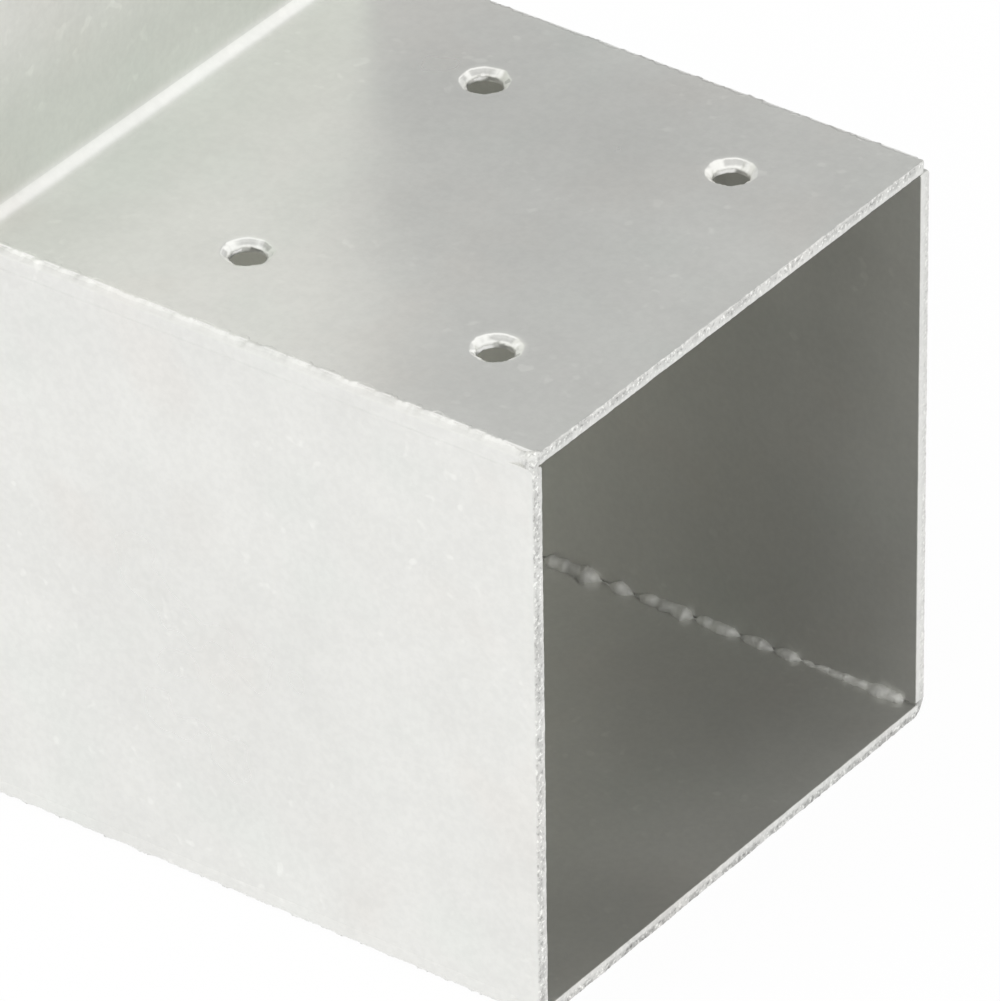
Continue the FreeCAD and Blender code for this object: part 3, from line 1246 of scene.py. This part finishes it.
def make_world():
    """A pale room that is greyer on its back left side, and white to the camera."""
    world = bpy.data.worlds.new("studio_room")
    world.use_nodes = True
    bpy.context.scene.world = world
    graph = Graph(world.node_tree)
    direction = graph.node("ShaderNodeTexCoord", output="Generated")
    grey_side = Vector((-0.55, 0.65, 0.52)).normalized()
    nearness = graph.node(
        "ShaderNodeVectorMath", {"operation": "DOT_PRODUCT"}, {0: direction, 1: grey_side}, output="Value")
    share = graph.steps(nearness, 0.70, 0.93)
    room = graph.mix_colour(share, (1.0, 1.0, 0.99, 1.0), (0.48, 0.485, 0.48, 1.0))
    seen = graph.node("ShaderNodeLightPath", output="Is Camera Ray")
    light = graph.node("ShaderNodeBackground", None, {"Color": room, "Strength": 1.0})
    white = graph.node("ShaderNodeBackground", None, {"Color": (1.0, 1.0, 1.0, 1.0), "Strength": 1.0})
    mixed = graph.node("ShaderNodeMixShader", None, {0: seen, 1: light, 2: white})
    graph.node("ShaderNodeOutputWorld", None, {"Surface": mixed})


def make_lamp():
    """One large soft lamp above the front."""
    spot = Vector((-0.2, -1.1, 1.7))
    aim = Vector((0.0, 0.0, 0.09))
    data = bpy.data.lights.new("front_softbox", "AREA")
    data.size = 2.0
    data.energy = 13.5
    lamp = bpy.data.objects.new("front_softbox", data)
    lamp.visible_glossy = False
    lamp.location = spot
    lamp.rotation_euler = (aim - spot).to_track_quat("-Z", "Y").to_euler()
    bpy.context.scene.collection.objects.link(lamp)


def make_camera():
    """The photograph's view: a long lens from above the lying sleeve's mouth."""
    azimuth = math.radians(36.63)
    elevation = math.radians(33.48)
    roll = math.radians(-0.80)
    distance = 1.612
    aim_right = -33.13 * MM
    aim_up = 12.48 * MM
    lens_in_widths = 11.47
    level_reach = math.cos(elevation)
    back = Vector((math.sin(azimuth) * level_reach, -math.cos(azimuth) * level_reach, math.sin(elevation)))
    level = Vector((math.cos(azimuth), math.sin(azimuth), 0.0))
    right = level * math.cos(roll) + back.cross(level) * math.sin(roll)
    up = back.cross(right)
    mouth_middle = Vector((MOUTH, 0.0, HALF_WIDTH))
    spot = mouth_middle + right * aim_right + up * aim_up + back * distance
    data = bpy.data.cameras.new("photo_camera")
    data.sensor_fit = "HORIZONTAL"
    data.sensor_width = 36.0
    data.lens = data.sensor_width * lens_in_widths
    data.clip_end = 20.0
    camera = bpy.data.objects.new("photo_camera", data)
    turned = Matrix((right, up, back)).transposed().to_4x4()
    camera.matrix_world = Matrix.Translation(spot) @ turned
    bpy.context.scene.collection.objects.link(camera)
    bpy.context.scene.camera = camera


class CONNECTOR_PT_panel(bpy.types.Panel):
    """Lists the steps of the connector"""
    bl_idname = "CONNECTOR_PT_panel"
    bl_label = "Post Connector"
    bl_space_type = "VIEW_3D"
    bl_region_type = "UI"
    bl_category = "Post Connector"

    def draw(self, context):
        for step in STEPS:
            self.layout.operator(step.bl_idname)


STEPS = (CONNECTOR_OT_cheeks, CONNECTOR_OT_strips, CONNECTOR_OT_welds, CONNECTOR_OT_stage)
SETTINGS = {
    "connector_sheet": SheetSettings,
    "connector_weld": WeldSettings,
    "connector_finish": FinishSettings,
}
CLASSES = tuple(SETTINGS.values()) + STEPS + (CONNECTOR_PT_panel,)


def register():
    for kind in CLASSES:
        bpy.utils.register_class(kind)
    for name, kind in SETTINGS.items():
        setattr(bpy.types.Scene, name, PointerProperty(type=kind))


def unregister():
    for name in SETTINGS:
        delattr(bpy.types.Scene, name)
    for kind in reversed(CLASSES):
        bpy.utils.unregister_class(kind)


def main():
    register()
    bpy.ops.connector.cheeks()
    bpy.ops.connector.strips()
    bpy.ops.connector.welds()
    bpy.ops.connector.stage()


if __name__ == "__main__":
    main()
